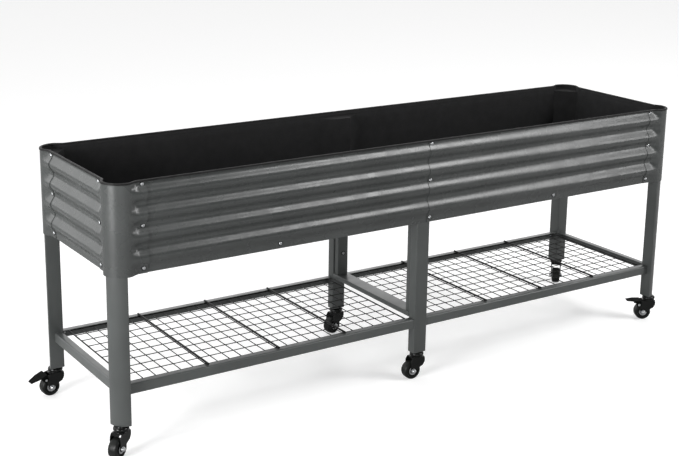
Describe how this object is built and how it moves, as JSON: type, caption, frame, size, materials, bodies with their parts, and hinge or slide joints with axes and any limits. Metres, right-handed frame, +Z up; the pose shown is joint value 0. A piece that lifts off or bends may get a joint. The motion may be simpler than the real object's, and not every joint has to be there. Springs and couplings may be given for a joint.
{
  "type": "rolling planter",
  "caption": "Long raised planter with corrugated steel walls on legs with swivel casters, two open wire shelves below and a cloth liner.",
  "frame": {"origin": "middle of the footprint of the whole object with its casters as they stand, on the floor", "axes": "+Z up, +X along the length to the right, -Y is the front"},
  "size_m": [2.2672, 0.579, 0.814],
  "materials": {
    "panel_paint": "satin dark grey powder coat",
    "frame_paint": "satin dark grey powder coat",
    "wire_paint": "black powder coat",
    "caster_black": "gloss black coat",
    "wheel_tread": "black moulded tread",
    "bright_zinc": "bright zinc plate",
    "rim_rubber": "matt black edge trim",
    "liner_cloth": "black non-woven cloth"
  },
  "bodies": {
    "frame": {"corner_panel_front_left": "panel_paint", "corner_panel_front_right": "panel_paint", "corner_panel_back_left": "panel_paint", "corner_panel_back_right": "panel_paint", "side_panel_front_left": "panel_paint", "side_panel_front_right": "panel_paint", "side_panel_back_left": "panel_paint", "side_panel_back_right": "panel_paint", "end_panel_left": "panel_paint", "end_panel_right": "panel_paint", "rim_trim": "rim_rubber", "liner": "liner_cloth", "floor_panel_left": "frame_paint", "floor_panel_right": "frame_paint", "cross_bar_left": "frame_paint", "cross_bar_right": "frame_paint", "cross_bar_middle": "frame_paint", "leg_front_left": "frame_paint", "leg_front_right": "frame_paint", "leg_back_left": "frame_paint", "leg_back_right": "frame_paint", "leg_front_middle": "frame_paint", "leg_back_middle": "frame_paint", "middle_upright_front": "frame_paint", "middle_upright_back": "frame_paint", "shelf_rail_front_left": "frame_paint", "shelf_rail_front_right": "frame_paint", "shelf_rail_back_left": "frame_paint", "shelf_rail_back_right": "frame_paint", "shelf_end_rail_left": "frame_paint", "shelf_end_rail_right": "frame_paint", "shelf_middle_rail": "frame_paint", "wire_shelf_left": "wire_paint", "wire_shelf_right": "wire_paint", "caster_stem_front_left": "caster_black", "caster_stem_front_middle": "caster_black", "caster_stem_front_right": "caster_black", "caster_stem_back_left": "caster_black", "caster_stem_back_middle": "caster_black", "caster_stem_back_right": "caster_black"},
    "fork_front_left": {"caster_fork_front_left": "caster_black", "caster_axle_front_left": "bright_zinc"},
    "wheel_front_left": {"caster_wheel_front_left": "wheel_tread"},
    "fork_front_middle": {"caster_fork_front_middle": "caster_black", "caster_axle_front_middle": "bright_zinc"},
    "wheel_front_middle": {"caster_wheel_front_middle": "wheel_tread"},
    "fork_front_right": {"caster_fork_front_right": "caster_black", "caster_axle_front_right": "bright_zinc"},
    "wheel_front_right": {"caster_wheel_front_right": "wheel_tread"},
    "pedal_front_right": {"brake_pedal_front_right": "caster_black"},
    "fork_back_left": {"caster_fork_back_left": "caster_black", "caster_axle_back_left": "bright_zinc"},
    "wheel_back_left": {"caster_wheel_back_left": "wheel_tread"},
    "pedal_back_left": {"brake_pedal_back_left": "caster_black"},
    "fork_back_middle": {"caster_fork_back_middle": "caster_black", "caster_axle_back_middle": "bright_zinc"},
    "wheel_back_middle": {"caster_wheel_back_middle": "wheel_tread"},
    "fork_back_right": {"caster_fork_back_right": "caster_black", "caster_axle_back_right": "bright_zinc"},
    "wheel_back_right": {"caster_wheel_back_right": "wheel_tread"}
  },
  "joints": [
    {"name": "swivel_front_left", "type": "hinge", "parent": "frame", "child": "fork_front_left", "pos_m": [-1.04108, -0.25156, 0.075], "axis": [0, 0, 1], "continuous": true},
    {"name": "roll_front_left", "type": "hinge", "parent": "fork_front_left", "child": "wheel_front_left", "pos_m": [-1.05974, -0.26322, 0.03], "axis": [0.5299, -0.848, 0], "continuous": true},
    {"name": "swivel_front_middle", "type": "hinge", "parent": "frame", "child": "fork_front_middle", "pos_m": [0.02292, -0.24206, 0.075], "axis": [0, 0, 1], "continuous": true},
    {"name": "roll_front_middle", "type": "hinge", "parent": "fork_front_middle", "child": "wheel_front_middle", "pos_m": [0.00097, -0.24052, 0.03], "axis": [-0.0698, -0.9976, 0], "continuous": true},
    {"name": "swivel_front_right", "type": "hinge", "parent": "frame", "child": "fork_front_right", "pos_m": [1.10492, -0.25156, 0.075], "axis": [0, 0, 1], "continuous": true},
    {"name": "roll_front_right", "type": "hinge", "parent": "fork_front_right", "child": "wheel_front_right", "pos_m": [1.0855, -0.24123, 0.03], "axis": [-0.4695, -0.8829, 0], "continuous": true},
    {"name": "brake_front_right", "type": "hinge", "parent": "fork_front_right", "child": "pedal_front_right", "pos_m": [1.06916, -0.23255, 0.059], "axis": [-0.4695, -0.8829, 0], "range_deg": [0, 22]},
    {"name": "swivel_back_left", "type": "hinge", "parent": "frame", "child": "fork_back_left", "pos_m": [-1.04108, 0.26044, 0.075], "axis": [0, 0, 1], "continuous": true},
    {"name": "roll_back_left", "type": "hinge", "parent": "fork_back_left", "child": "wheel_back_left", "pos_m": [-1.06303, 0.25891, 0.03], "axis": [0.0698, -0.9976, 0], "continuous": true},
    {"name": "brake_back_left", "type": "hinge", "parent": "fork_back_left", "child": "pedal_back_left", "pos_m": [-1.08148, 0.25762, 0.059], "axis": [0.0698, -0.9976, 0], "range_deg": [-22, 0]},
    {"name": "swivel_back_middle", "type": "hinge", "parent": "frame", "child": "fork_back_middle", "pos_m": [0.02292, 0.25094, 0.075], "axis": [0, 0, 1], "continuous": true},
    {"name": "roll_back_middle", "type": "hinge", "parent": "fork_back_middle", "child": "wheel_back_middle", "pos_m": [0.00157, 0.24562, 0.03], "axis": [0.2419, -0.9703, 0], "continuous": true},
    {"name": "swivel_back_right", "type": "hinge", "parent": "frame", "child": "fork_back_right", "pos_m": [1.10492, 0.26044, 0.075], "axis": [0, 0, 1], "continuous": true},
    {"name": "roll_back_right", "type": "hinge", "parent": "fork_back_right", "child": "wheel_back_right", "pos_m": [1.09078, 0.24359, 0.03], "axis": [0.766, -0.6428, 0], "continuous": true}
  ]
}
